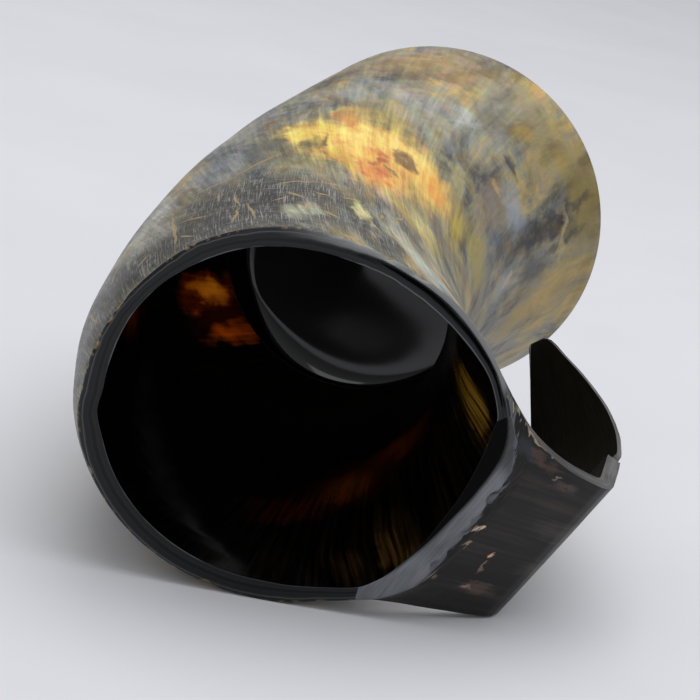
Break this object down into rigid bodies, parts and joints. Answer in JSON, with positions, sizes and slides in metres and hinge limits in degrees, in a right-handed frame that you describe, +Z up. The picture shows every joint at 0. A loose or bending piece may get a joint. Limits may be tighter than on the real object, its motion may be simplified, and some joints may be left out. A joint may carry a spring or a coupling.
{
  "type": "horn drinking cup",
  "caption": "Drinking cup made from a curved length of horn, with a plugged and sealed bottom and a strap handle folded out from the rim.",
  "frame": {"origin": "centre of the flat underside that the cup stands on", "axes": "+Z up out of the base, +X towards the strap handle"},
  "size_m": [0.1078, 0.0942, 0.1391],
  "materials": {
    "polished_horn": "polished horn, dark with amber streaks",
    "base_wood": "dark oiled",
    "black_resin": "glossy"
  },
  "bodies": {
    "root": {"horn_body": "polished_horn", "base_disc": "base_wood", "floor_seal": "black_resin"}
  },
  "joints": []
}
